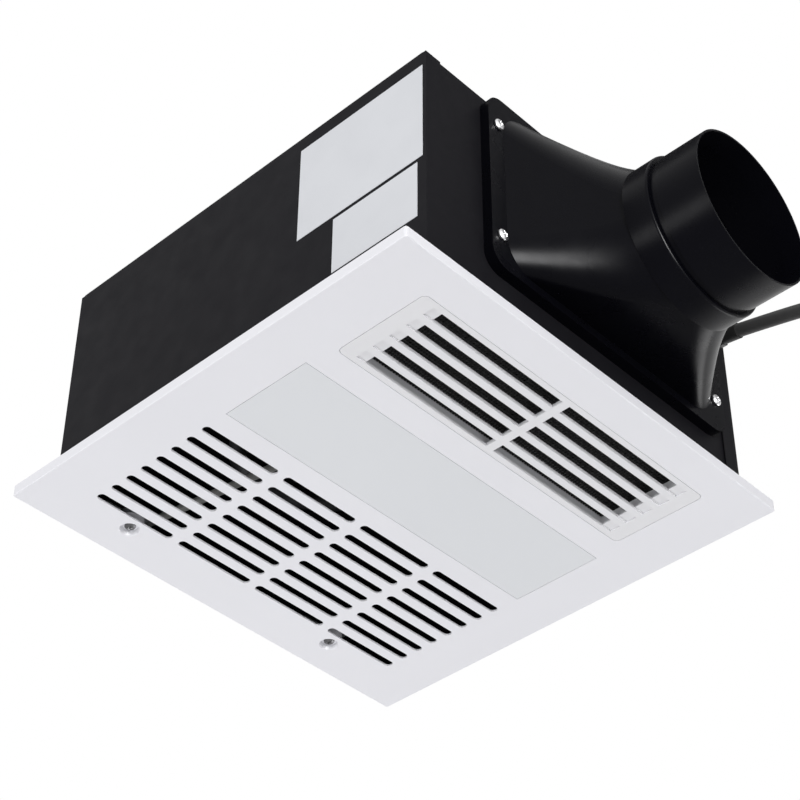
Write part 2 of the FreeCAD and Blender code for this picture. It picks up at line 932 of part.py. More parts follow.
def fan_casing():
    # A short duct from the plenum wall to the heater box, with end plates and a curved guide.
    x0 = plenum_x + seat
    x1 = heater_mid_x - box_half_x() - seat
    low = casing_low()
    high = deck_z - seat
    y0, y1 = casing_ends()
    pieces = [
        block(x0, x1, y0 - casing_t, y1 + casing_t, low, low + casing_t),
        block(x0, x1, y0 - casing_t, y1 + casing_t, high - casing_t, high),
        block(x0, x1, y0 - casing_t, y0, low, high),
        block(x0, x1, y1, y1 + casing_t, low, high),
    ]
    guide_r = fan_r + casing_gap / 2
    start = Vec(fan_axis_x, y0, fan_axis_z)
    guide = tube(guide_r + casing_t, guide_r, start, UNIT_Y, y1 - y0)
    keep = Part.makeCylinder(guide_r + overrun, y1 - y0, start, UNIT_Y, guide_end_deg - guide_start_deg)
    keep.rotate(start, UNIT_Y, -guide_end_deg)
    pieces.append(guide.common(keep))
    body = join(pieces)
    axis_start = Vec(fan_axis_x, y0 - casing_t - overrun, fan_axis_z)
    bush_hole = rod(bush_r - casing_t + seat, axis_start, UNIT_Y, casing_t + 2 * overrun)
    motor_hole = rod(bush_r - casing_t, Vec(fan_axis_x, y1 - overrun, fan_axis_z), UNIT_Y, casing_t + 2 * overrun)
    return body.cut([bush_hole, motor_hole])


def heater_wheel():
    # A long drum of blades between three discs.
    start = Vec(fan_axis_x, fan_mid_y - fan_len / 2, fan_axis_z)
    pieces = []
    for share in (0, 0.5, 1):
        at = start + UNIT_Y * ((fan_len - fan_disc) * share)
        pieces.append(rod(fan_r, at, UNIT_Y, fan_disc))
    blade = block(fan_inner_r, fan_r, 0, fan_len, -fan_blade_t / 2, fan_blade_t / 2)
    for i in range(fan_blades):
        vane = blade.copy()
        vane.rotate(Vec(fan_r, 0, 0), UNIT_Y, 360 / fan_blades)
        vane.translate(start)
        vane.rotate(start, UNIT_Y, 360 * i / fan_blades)
        pieces.append(vane)
    hull = rod(fan_r, start, UNIT_Y, fan_len)
    body = join(pieces).common(hull)
    return body.cut(rod(fan_shaft_r + seat / 2, start - UNIT_Y * overrun, UNIT_Y, fan_len + 2 * overrun))


def heater_shaft():
    y0 = casing_ends()[0] - fan_shaft_end
    y1 = casing_ends()[1] + casing_t + fan_motor_len - overrun
    return rod(fan_shaft_r, Vec(fan_axis_x, y0, fan_axis_z), UNIT_Y, y1 - y0)


def heater_bush():
    # A rubber bush that carries the free end of the fan shaft in the casing's end plate.
    face = casing_ends()[0] - casing_t
    start = Vec(fan_axis_x, face - seat, fan_axis_z)
    collar = rod(bush_r, start, Vec(0, -1, 0), bush_len)
    neck = rod(bush_r - casing_t, start, UNIT_Y, casing_t + 2 * seat)
    bore_start = start - UNIT_Y * (bush_len + overrun)
    return join([collar, neck]).cut(rod(fan_shaft_r + run_fit, bore_start, UNIT_Y, bush_len + 3 * overrun))


def heater_motor():
    y0 = casing_ends()[1] + casing_t + seat
    start = Vec(fan_axis_x, y0, fan_axis_z)
    can = rod(fan_motor_r, start, UNIT_Y, fan_motor_len)
    rims = [e for e in can.Edges if e.Closed and e.CenterOfMass.y > y0 + fan_motor_len / 2]
    can = can.makeFillet(fold_r, rims)
    return can.cut(rod(fan_shaft_r + run_fit, start, UNIT_Y, fan_motor_len - overrun / 2))


def wire_sleeve():
    # A pale tube that carries the lamp's wires across the intake space, from the upright to the rear wall.
    near = Vec(plenum_x - sheet, sleeve_near_y, sleeve_z)
    far = Vec(-wall_back, sleeve_far_y, sleeve_z)
    along = (far - near).normalize()
    back = sleeve_r * abs(along.y) + seat
    length = (far - near).Length - 2 * back
    start = near + along * back
    bore = rod(sleeve_bore, start - along * overrun, along, length + 2 * overrun)
    return rod(sleeve_r, start, along, length).cut(bore)


def plenum_wall():
    # The upright between the intake space and the lamp, with the heater fan's inlet.
    plate = block(plenum_x - sheet, plenum_x, -side_face, side_face, seat, deck_z - seat)
    y0 = fan_mid_y - fan_len / 2
    low = plenum_opening_z + casing_t
    high = deck_z - inlet_round
    inlet = block(plenum_x - sheet - overrun, plenum_x + overrun, y0, y0 + fan_len, low, high)
    return plate.cut(inlet)


def deck_plate():
    plate = block(-wall_back + seat, wall_back - seat, -side_face, side_face, deck_z, deck_top)
    hole_r = inlet_r + inlet_round
    return plate.cut(rod(hole_r, Vec(wheel_x, 0, deck_z - overrun), UNIT_Z, deck_t + 2 * overrun))


def inlet_ring():
    # A flared ring that leads the air into the exhaust wheel.
    flare = inlet_r + inlet_round
    low = deck_top + seat
    high = low + inlet_round
    root = math.sqrt(0.5)
    thin = inlet_round - inlet_wall
    points = [
        Vec(flare, 0, low),
        Vec(inlet_r, 0, high),
        Vec(inlet_r + inlet_wall, 0, high),
        Vec(flare, 0, low + inlet_wall),
        Vec(flare + inlet_flange, 0, low + inlet_wall),
        Vec(flare + inlet_flange, 0, low),
    ]
    edges = [
        arc(points[0], Vec(flare - inlet_round * root, 0, high - inlet_round * root), points[1]),
        line(points[1], points[2]),
        arc(points[2], Vec(flare - thin * root, 0, high - thin * root), points[3]),
        line(points[3], points[4]),
        line(points[4], points[5]),
        line(points[5], points[0]),
    ]
    ring = Part.Face(Part.Wire(edges)).revolve(Vec(0, 0, 0), UNIT_Z, 360)
    ring.translate(Vec(wheel_x, 0, 0))
    return ring


def exhaust_blade():
    # One thin curved blade about the wheel's axis, made between two arcs.
    lean = math.radians(wheel_blade_lean_deg)
    outer = wheel_r - wheel_blade_t / 2
    a = Vec(wheel_inner_r, 0, 0)
    b = Vec(outer * math.cos(lean), outer * math.sin(lean), 0)
    across = (b - a).cross(UNIT_Z)
    across.normalize()
    middle = (a + b) * 0.5
    push = across * wheel_blade_t
    edges = [
        arc(a, middle + across * wheel_bulge, b),
        line(b, b + push),
        arc(b + push, middle + across * (wheel_bulge + wheel_blade_t), a + push),
        line(a + push, a),
    ]
    return prism(edges, Vec(0, 0, wheel_h - wheel_plate_t / 2))


def exhaust_wheel():
    # A drum of blades, an inlet ring, a back plate and a dish that goes round the motor.
    pieces = []
    for i in range(wheel_blades):
        blade = exhaust_blade()
        blade.rotate(Vec(0, 0, 0), UNIT_Z, 360 * i / wheel_blades)
        pieces.append(blade)
    low = Vec(0, 0, 0)
    pieces.append(tube(wheel_r, wheel_r - wheel_ring_w, low, UNIT_Z, wheel_ring_t))
    back = Vec(0, 0, wheel_h - wheel_plate_t)
    pieces.append(tube(wheel_r, dish_wall_r, back, UNIT_Z, wheel_plate_t))
    dish_low = hub_z - wheel_z
    dish_start = Vec(0, 0, dish_low)
    pieces.append(tube(dish_wall_r + dish_wall_t, dish_wall_r, dish_start, UNIT_Z, wheel_h - dish_low))
    pieces.append(rod(dish_wall_r + tiny + dish_wall_t / 2, dish_start, UNIT_Z, wheel_plate_t))
    pieces.append(rod(hub_r, dish_start, UNIT_Z, hub_h))
    wheel = join(pieces)
    wheel = wheel.cut(rod(shaft_r + seat / 2, dish_start - UNIT_Z * overrun, UNIT_Z, hub_h + 2 * overrun))
    wheel.translate(Vec(wheel_x, 0, wheel_z))
    return wheel


def motor_top():
    return ceiling_inside - seat - motor_plate_t - seat


def motor_shaft():
    low = hub_z - nut_h - shaft_tail
    high = motor_top() - motor_wall - overrun
    return rod(shaft_r, Vec(wheel_x, 0, low), UNIT_Z, high - low)


def wheel_nut():
    start = Vec(wheel_x, 0, hub_z - seat - nut_h)
    return hex_nut(nut_r, shaft_r + seat / 2, start, UNIT_Z, nut_h)


def foot_angles():
    return [360 * i / motor_foot_count for i in range(motor_foot_count)]


def motor_shell():
    # A closed can with three feet under the mounting plate.
    start = Vec(wheel_x, 0, motor_z)
    height = motor_top() - motor_z
    can = rod(motor_r, start, UNIT_Z, height)
    low_rims = [e for e in can.Edges if e.Closed and abs(e.CenterOfMass.z - motor_z) < tiny]
    can = can.makeFillet(2 * fold_r, low_rims)
    foot_low = motor_top() - grommet_h - foot_t
    feet = []
    for angle in foot_angles():
        reach = motor_foot_r + foot_w / 2
        foot = block(motor_r - motor_wall, reach, -foot_w / 2, foot_w / 2, foot_low, foot_low + foot_t)
        hole = rod(screw_r + seat, Vec(motor_foot_r, 0, foot_low - overrun), UNIT_Z, foot_t + 2 * overrun)
        foot = foot.cut(hole)
        foot.rotate(Vec(0, 0, 0), UNIT_Z, angle)
        foot.translate(Vec(wheel_x, 0, 0))
        feet.append(foot)
    room = rod(motor_r - motor_wall, start + UNIT_Z * motor_wall, UNIT_Z, height - 2 * motor_wall)
    exit_hole = rod(shaft_r + slip, start - UNIT_Z * overrun, UNIT_Z, motor_wall + 2 * overrun)
    return join([can] + feet).cut([room, exit_hole])


def motor_bearings():
    low = motor_z + motor_wall + seat
    high = motor_top() - motor_wall - seat - bearing_h
    return [tube(bearing_r, shaft_r + run_fit, Vec(wheel_x, 0, z), UNIT_Z, bearing_h) for z in (low, high)]


def stator_low():
    return (motor_z + motor_top()) / 2 - stator_h / 2


def motor_stator():
    start = Vec(wheel_x, 0, stator_low())
    return tube(motor_r - motor_wall - seat, stator_bore, start, UNIT_Z, stator_h)


def motor_rotor():
    start = Vec(wheel_x, 0, stator_low())
    return tube(stator_bore - rotor_gap, shaft_r + seat / 2, start, UNIT_Z, stator_h)


def motor_plate():
    start = Vec(wheel_x, 0, ceiling_inside - seat - motor_plate_t)
    plate = rod(motor_plate_r, start, UNIT_Z, motor_plate_t)
    holes = []
    for angle in foot_angles():
        at = Vec(motor_foot_r, 0, 0)
        at = FreeCAD.Rotation(UNIT_Z, angle).multVec(at) + start - UNIT_Z * overrun
        holes.append(rod(screw_r + seat, at, UNIT_Z, motor_plate_t + 2 * overrun))
    return plate.cut(holes)


def foot_places():
    turn = [FreeCAD.Rotation(UNIT_Z, angle) for angle in foot_angles()]
    return [t.multVec(Vec(motor_foot_r, 0, 0)) + Vec(wheel_x, 0, 0) for t in turn]


def motor_grommets():
    low = motor_top() - grommet_h + seat
    height = grommet_h - seat
    return [tube(grommet_r, screw_r + seat, at + UNIT_Z * low, UNIT_Z, height) for at in foot_places()]


def motor_screws():
    low = motor_top() - grommet_h - foot_t
    length = foot_t + grommet_h + seat + motor_plate_t
    return [
        pan_screw(at + UNIT_Z * low, UNIT_Z, grommet_r - seat, foot_screw_head_h, length)
        for at in foot_places()
    ]


def scroll_band():
    # A sheet band round the exhaust wheel: three quarter turns that widen, then straight to the outlet.
    low = deck_top + seat + inlet_wall + seat
    high = ceiling_inside - seat - sheet - seat
    half = scroll_step / 2
    end_x = wall_back - slip - scroll_t
    c1 = Vec(wheel_x - half, -half, low)
    c2 = c1 + Vec(0, scroll_step, 0)
    c3 = c2 + Vec(scroll_step, 0, 0)
    r1 = scroll_r
    r2 = r1 + scroll_step
    r3 = r2 + scroll_step
    root = math.sqrt(0.5)
    cut_off = c1 + Vec(r1, 0, 0)
    tip = cut_off + Vec(tongue_r, tongue_r, 0)
    tip_mid = cut_off + Vec(tongue_r * (1 - root), tongue_r * root, 0)
    edges = [
        line(Vec(end_x, outlet_low_y, low), Vec(tip.x + tongue_r, tip.y - tongue_r, low)),
        arc(Vec(tip.x + tongue_r, tip.y - tongue_r, low), Vec(tip.x, tip.y, low), cut_off),
        arc(cut_off, c1 + Vec(r1 * root, -r1 * root, 0), c1 + Vec(0, -r1, 0)),
        arc(c1 + Vec(0, -r1, 0), c2 + Vec(-r2 * root, -r2 * root, 0), c2 + Vec(-r2, 0, 0)),
        arc(c2 + Vec(-r2, 0, 0), c3 + Vec(-r3 * root, r3 * root, 0), c3 + Vec(0, r3, 0)),
        line(c3 + Vec(0, r3, 0), Vec(end_x, c3.y + r3, low)),
    ]
    path = Part.Wire(edges)
    band = path.makeOffset2D(scroll_t, 0, True, True, False)
    return band.extrude(Vec(0, 0, high - low))


def wiring_box():
    # Three sides of a compartment in the corner behind the gland.
    x1 = wall_back - seat
    x0 = x1 - wiring_x
    y1 = side_face - seat
    y0 = y1 - wiring_y
    pieces = [
        block(x0, x1, y0, y1, wiring_low, wiring_low + wiring_t),
        block(x0, x1, y0, y1, wiring_high - wiring_t, wiring_high),
        block(x0, x0 + wiring_t, y0, y1, wiring_low, wiring_high),
    ]
    foot = earth_place() - UNIT_Z * (wiring_t + overrun)
    return join(pieces).cut(rod(screw_r + seat, foot, UNIT_Z, wiring_t + 2 * overrun))


def earth_place():
    x = wall_back - seat - wiring_x / 3
    return Vec(x, side_face - seat - wiring_y / 2, wiring_low + wiring_t)


def wiring_cover():
    x1 = wall_back - seat
    y0 = side_face - seat - wiring_y - seat
    return block(x1 - wiring_x, x1, y0 - wiring_t, y0, wiring_low, wiring_high)


def terminal_block():
    x0 = wall_back - seat - wiring_x + wiring_t + seat
    y1 = side_face - 2 * seat
    low = wiring_low + wiring_t + seat
    block_shape = block(x0, x0 + terminal_x, y1 - terminal_y, y1, low, low + terminal_z)
    pitch = terminal_x / terminal_ways
    holes = []
    for i in range(terminal_ways):
        at = Vec(x0 + (i + 0.5) * pitch, y1 - terminal_y / 2, low + terminal_z - terminal_hole_depth)
        holes.append(rod(terminal_hole_r, at, UNIT_Z, terminal_hole_depth + overrun))
    return block_shape.cut(holes)


def earth_screw():
    return pan_screw(earth_place(), Vec(0, 0, -1), earth_head_r, earth_head_h, wiring_t)


def run_capacitor():
    low = deck_top + seat
    case = centred(capacitor_mid_x, capacitor_mid_y, capacitor_x, capacitor_y, low, low + capacitor_z)
    return round_upright(case, capacitor_corner)


def cord_gland():
    # A nut-shaped base, a tapered nose that holds the lead, and a threaded back.
    start = Vec(half_x, gland_y, gland_z)
    lead_start = Vec(*LEAD_ROUTE[0])
    heading = Vec(*LEAD_ROUTE[1]) - lead_start
    heading.normalize()
    sides = hex_nut(gland_r, lead_r, start, UNIT_X, gland_base)
    solid_base = rod(lead_r + seat, start, UNIT_X, gland_base)
    root = start + UNIT_X * gland_base - heading * overrun
    nose = Part.makeCone(gland_root_r, gland_nose_r, gland_nose, root, heading)
    back = rod(gland_thread_r, start - UNIT_X * gland_back, UNIT_X, gland_back)
    bore = rod(lead_r + seat, lead_start - heading * seat, heading, 2 * gland_nose)
    return join([sides, solid_base, nose, back]).cut(bore)


def gland_nut():
    start = Vec(wall_back - seat - gland_nut_h, gland_y, gland_z)
    return hex_nut(gland_r - seat, gland_thread_r + seat / 2, start, UNIT_X, gland_nut_h)


def rounded_route(points):
    # Straight runs joined by the largest tangent arcs that their lengths allow.
    spots = [Vec(*p) for p in points]
    runs = [b - a for a, b in zip(spots, spots[1:])]
    edges = []
    radii = []
    last = spots[0]
    for i in range(1, len(spots) - 1):
        before = Vec(runs[i - 1])
        after = Vec(runs[i])
        turn = before.getAngle(after)
        cut = lead_arc_share * min(before.Length, after.Length)
        radius = cut / math.tan(turn / 2)
        before.normalize()
        after.normalize()
        first = spots[i] - before * cut
        second = spots[i] + after * cut
        inward = after - before
        inward.normalize()
        middle = spots[i] + inward * (radius / math.cos(turn / 2) - radius)
        edges.append(line(last, first))
        edges.append(arc(first, middle, second))
        radii.append(radius)
        last = second
    edges.append(line(last, spots[-1]))
    return Part.Wire(edges), radii


def supply_lead():
    path, radii = rounded_route(LEAD_ROUTE)
    start = Vec(*LEAD_ROUTE[0])
    heading = Vec(*LEAD_ROUTE[1]) - start
    section = Part.Wire(Part.makeCircle(lead_r, start, heading))
    lead = path.makePipeShell([section], True, False)
    print("lead radii", [round(r, 1) for r in radii])
    expected = math.pi * lead_r ** 2 * path.Length
    print("lead length", round(path.Length, 1), "volume over section times length", round(lead.Volume / expected, 5))
    return lead


def core_lines():
    # Where each stripped core starts and the way it points.
    end = Vec(*LEAD_ROUTE[-1])
    heading = end - Vec(*LEAD_ROUTE[-2])
    heading.normalize()
    side = heading.cross(UNIT_Z)
    side.normalize()
    up = side.cross(heading)
    found = []
    for i in range(core_count):
        angle = 2 * math.pi * i / core_count
        out = side * math.cos(angle) + up * math.sin(angle)
        aim = heading + out * core_splay_share
        aim.normalize()
        found.append((end + heading * slip + out * (lead_r * core_ring_share), aim))
    return found


def cord_cores():
    return [rod(core_r, start, aim, core_len) for start, aim in core_lines()]


def core_tips():
    return [rod(tip_r, start + aim * core_len, aim, tip_len) for start, aim in core_lines()]


def blank_labels():
    places = [
        (label_big_mid_x, label_big_mid_z, label_big_x, label_big_z),
        (label_small_mid_x, label_small_mid_z, label_small_x, label_small_z),
    ]
    found = []
    for mid_x, mid_z, wide, high in places:
        y = -half_y
        found.append(block(mid_x - wide / 2, mid_x + wide / 2, y - label_t, y, mid_z - high / 2, mid_z + high / 2))
    return found


PIECES = [
    housing_wrap, duct_wall, duct_adapter, collar_ring, adapter_screws, damper_flap, damper_pin,
    grille_panel, grille_screws, screw_brackets,
    led_diffuser, led_tray, led_boards, led_chips, led_driver,
    heater_grille, guard_mesh, heater_box, heater_bars, heater_fins, element_ends, thermal_cutoff,
    fan_casing, heater_wheel, heater_shaft, heater_bush, heater_motor,
    wire_sleeve, plenum_wall, deck_plate, inlet_ring, scroll_band,
    exhaust_wheel, wheel_nut, motor_shaft, motor_rotor, motor_stator, motor_bearings, motor_shell,
    motor_plate, motor_grommets, motor_screws,
    wiring_box, wiring_cover, terminal_block, earth_screw, run_capacitor,
    cord_gland, gland_nut, supply_lead, cord_cores, core_tips, blank_labels,
]
for make in PIECES:
    save(make.__name__, make())
save("rear_wall", end_wall(-1))
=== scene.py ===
import math

import bmesh
import bpy
import numpy as np
from mathutils import Matrix, Vector


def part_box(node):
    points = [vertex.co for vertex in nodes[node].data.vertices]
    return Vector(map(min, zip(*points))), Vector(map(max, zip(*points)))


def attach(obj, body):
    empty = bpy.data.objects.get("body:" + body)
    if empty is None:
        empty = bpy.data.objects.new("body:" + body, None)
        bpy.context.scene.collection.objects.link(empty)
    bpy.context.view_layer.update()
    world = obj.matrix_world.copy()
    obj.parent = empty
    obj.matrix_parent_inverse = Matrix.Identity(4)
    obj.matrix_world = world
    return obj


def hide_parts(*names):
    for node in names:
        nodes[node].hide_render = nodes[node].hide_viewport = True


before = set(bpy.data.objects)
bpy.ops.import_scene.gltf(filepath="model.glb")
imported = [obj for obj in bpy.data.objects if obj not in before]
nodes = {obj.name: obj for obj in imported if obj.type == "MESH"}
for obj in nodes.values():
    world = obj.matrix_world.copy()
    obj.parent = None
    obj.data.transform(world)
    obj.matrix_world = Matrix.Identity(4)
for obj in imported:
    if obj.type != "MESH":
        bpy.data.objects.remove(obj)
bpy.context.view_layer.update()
print("frame loaded with", len(nodes), "nodes")

# Camera, set at the photograph's own angle

cameraView = {
    "place": (0.68551, -0.71467, -0.76301),
    "right": (0.72557, 0.68813, 0.00457),
    "down": (-0.44137, 0.47046, -0.76411),
    "forward": (-0.52796, 0.55240, 0.64507),
    "lens": 95.63,
    "sensor": 36.0,
    "nearest": 0.01,
    "farthest": 20.0,
}


def makeCamera(view):
    data = bpy.data.cameras.new("photoCamera")
    data.lens = view["lens"]
    data.sensor_width = view["sensor"]
    data.clip_start = view["nearest"]
    data.clip_end = view["farthest"]
    camera = bpy.data.objects.new("photoCamera", data)
    turn = Matrix((view["right"], -Vector(view["down"]), -Vector(view["forward"]))).transposed()
    camera.matrix_world = Matrix.Translation(view["place"]) @ turn.to_4x4()
    bpy.context.scene.collection.objects.link(camera)
    bpy.context.scene.camera = camera


makeCamera(cameraView)
print("camera set")

# Small helpers for meshes


def meshPiece(name, points, faces, material, smooth=True):
    # puts an array of points and a list of faces into one mesh object at the origin
    mesh = bpy.data.meshes.new(name)
    mesh.from_pydata(np.asarray(points, float).tolist(), [], faces)
    mesh.polygons.foreach_set("use_smooth", np.full(len(mesh.polygons), smooth))
    mesh.materials.append(material)
    mesh.update()
    piece = bpy.data.objects.new(name, mesh)
    bpy.context.scene.collection.objects.link(piece)
    return piece


def closePoles(piece, reach=1e-7):
    # joins points that lie on each other, so that rows of no width become single points
    work = bmesh.new()
    work.from_mesh(piece.data)
    bmesh.ops.remove_doubles(work, verts=work.verts, dist=reach)
    work.to_mesh(piece.data)
    work.free()


def gridFaces(rows, columns, wrap):
    # quads between neighbouring rows and columns of a grid, closed round the columns where wrap is true
    reach = columns if wrap else columns - 1
    row, column = np.meshgrid(np.arange(rows - 1), np.arange(reach), indexing="ij")
    after = (column + 1) % columns
    here, above = row * columns, (row + 1) * columns
    corners = (here + column, here + after, above + after, above + column)
    return np.stack([c.ravel() for c in corners], axis=1)


def frameAlong(tangent):
    # two unit vectors square to each tangent, worked out from the upright or the X direction
    steep = np.abs(tangent[:, 2:3]) > 0.9
    helper = np.where(steep, np.array([[1.0, 0.0, 0.0]]), np.array([[0.0, 0.0, 1.0]]))
    side = np.cross(tangent, helper)
    side /= np.linalg.norm(side, axis=1, keepdims=True)
    return side, np.cross(side, tangent)


def tubeAlong(path, radius, sides, twist=0.0, lobes=0, lobeShare=0.0):
    # a closed tube: a circle with raised lobes, carried along the path and turned by twist from end to end
    path = np.asarray(path, float)
    tangent = np.gradient(path, axis=0)
    tangent /= np.linalg.norm(tangent, axis=1, keepdims=True)
    side, up = frameAlong(tangent)
    angle = np.linspace(0, 2 * math.pi, sides, endpoint=False)[None, :]
    turned = angle + twist * np.linspace(0, 1, len(path))[:, None]
    r = radius * (1 - lobeShare + lobeShare * np.abs(np.cos(lobes * angle / 2)))
    points = path[:, None, :] + r[..., None] * (
        np.cos(turned)[..., None] * side[:, None, :] + np.sin(turned)[..., None] * up[:, None, :]
    )
    points = points.reshape(-1, 3)
    faces = gridFaces(len(path), sides, True)
    first, last = len(points), len(points) + 1
    points = np.vstack([points, path[:1], path[-1:]])
    ring = np.arange(sides)
    start = np.stack([np.full(sides, first), (ring + 1) % sides, ring], axis=1)
    base = (len(path) - 1) * sides
    end = np.stack([np.full(sides, last), base + ring, base + (ring + 1) % sides], axis=1)
    return points, faces[:, ::-1], np.vstack([start, end])[:, ::-1]


# Materials: each builder sets plain values on the shader and adds fine detail on Object coordinates


def newMaterial(name, colour, roughness, metallic, specular):
    material = bpy.data.materials.new(name)
    material.use_nodes = True
    shader = material.node_tree.nodes["Principled BSDF"]
    shader.inputs["Base Color"].default_value = (*colour, 1.0)
    shader.inputs["Roughness"].default_value = roughness
    shader.inputs["Metallic"].default_value = metallic
    shader.inputs["Specular IOR Level"].default_value = specular
    return material


def objectNoise(material, scale, detail, stretch):
    # noise on Object coordinates, drawn out along an axis by a stretch below 1
    tree = material.node_tree
    place = tree.nodes.new("ShaderNodeTexCoord")
    mapping = tree.nodes.new("ShaderNodeMapping")
    mapping.inputs["Scale"].default_value = stretch
    noise = tree.nodes.new("ShaderNodeTexNoise")
    noise.inputs["Scale"].default_value = scale
    noise.inputs["Detail"].default_value = detail
    tree.links.new(place.outputs["Object"], mapping.inputs["Vector"])
    tree.links.new(mapping.outputs["Vector"], noise.inputs["Vector"])
    return noise.outputs["Fac"]


# the part of the noise's range that a drift uses, and how fine the noise is
noiseUse = {
    "driftFrom": 0.35, "driftTo": 0.65, "driftDetail": 3.0,
    "sheenFrom": 0.3, "sheenTo": 0.7, "sheenDetail": 4.0,
}


def addGrain(material, scale, strength, depth, detail=2.0, stretch=(1.0, 1.0, 1.0)):
    # fine relief: a noise of the given scale lifted into a bump
    tree = material.node_tree
    bump = tree.nodes.new("ShaderNodeBump")
    bump.inputs["Strength"].default_value = strength
    bump.inputs["Distance"].default_value = depth
    tree.links.new(objectNoise(material, scale, detail, stretch), bump.inputs["Height"])
    tree.links.new(bump.outputs["Normal"], tree.nodes["Principled BSDF"].inputs["Normal"])


def addDrift(material, first, second, scale, stretch=(1.0, 1.0, 1.0)):
    # slow colour change between two near shades
    tree = material.node_tree
    ramp = tree.nodes.new("ShaderNodeValToRGB")
    ramp.color_ramp.elements[0].position = noiseUse["driftFrom"]
    ramp.color_ramp.elements[1].position = noiseUse["driftTo"]
    ramp.color_ramp.elements[0].color = (*first, 1.0)
    ramp.color_ramp.elements[1].color = (*second, 1.0)
    tree.links.new(objectNoise(material, scale, noiseUse["driftDetail"], stretch), ramp.inputs["Fac"])
    tree.links.new(ramp.outputs["Color"], tree.nodes["Principled BSDF"].inputs["Base Color"])


def addSheenDrift(material, low, high, scale, stretch=(1.0, 1.0, 1.0)):
    # roughness that wanders between two values
    tree = material.node_tree
    span = tree.nodes.new("ShaderNodeMapRange")
    span.inputs["From Min"].default_value = noiseUse["sheenFrom"]
    span.inputs["From Max"].default_value = noiseUse["sheenTo"]
    span.inputs["To Min"].default_value = low
    span.inputs["To Max"].default_value = high
    tree.links.new(objectNoise(material, scale, noiseUse["sheenDetail"], stretch), span.inputs["Value"])
    tree.links.new(span.outputs["Result"], tree.nodes["Principled BSDF"].inputs["Roughness"])


def addSpangle(material, first, second, scale):
    # zinc crystals: a random shade in each cell of a cell pattern
    tree = material.node_tree
    place = tree.nodes.new("ShaderNodeTexCoord")
    cells = tree.nodes.new("ShaderNodeTexVoronoi")
    cells.inputs["Scale"].default_value = scale
    split = tree.nodes.new("ShaderNodeSeparateColor")
    ramp = tree.nodes.new("ShaderNodeValToRGB")
    ramp.color_ramp.elements[0].color = (*first, 1.0)
    ramp.color_ramp.elements[1].color = (*second, 1.0)
    tree.links.new(place.outputs["Object"], cells.inputs["Vector"])
    tree.links.new(cells.outputs["Color"], split.inputs["Color"])
    tree.links.new(split.outputs["Red"], ramp.inputs["Fac"])
    tree.links.new(ramp.outputs["Color"], tree.nodes["Principled BSDF"].inputs["Base Color"])


def addCoreShade(material):
    # the colour comes from the piece's own attribute, one shade for each core
    tree = material.node_tree
    shade = tree.nodes.new("ShaderNodeAttribute")
    shade.attribute_name = "coreShade"
    tree.links.new(shade.outputs["Color"], tree.nodes["Principled BSDF"].inputs["Base Color"])


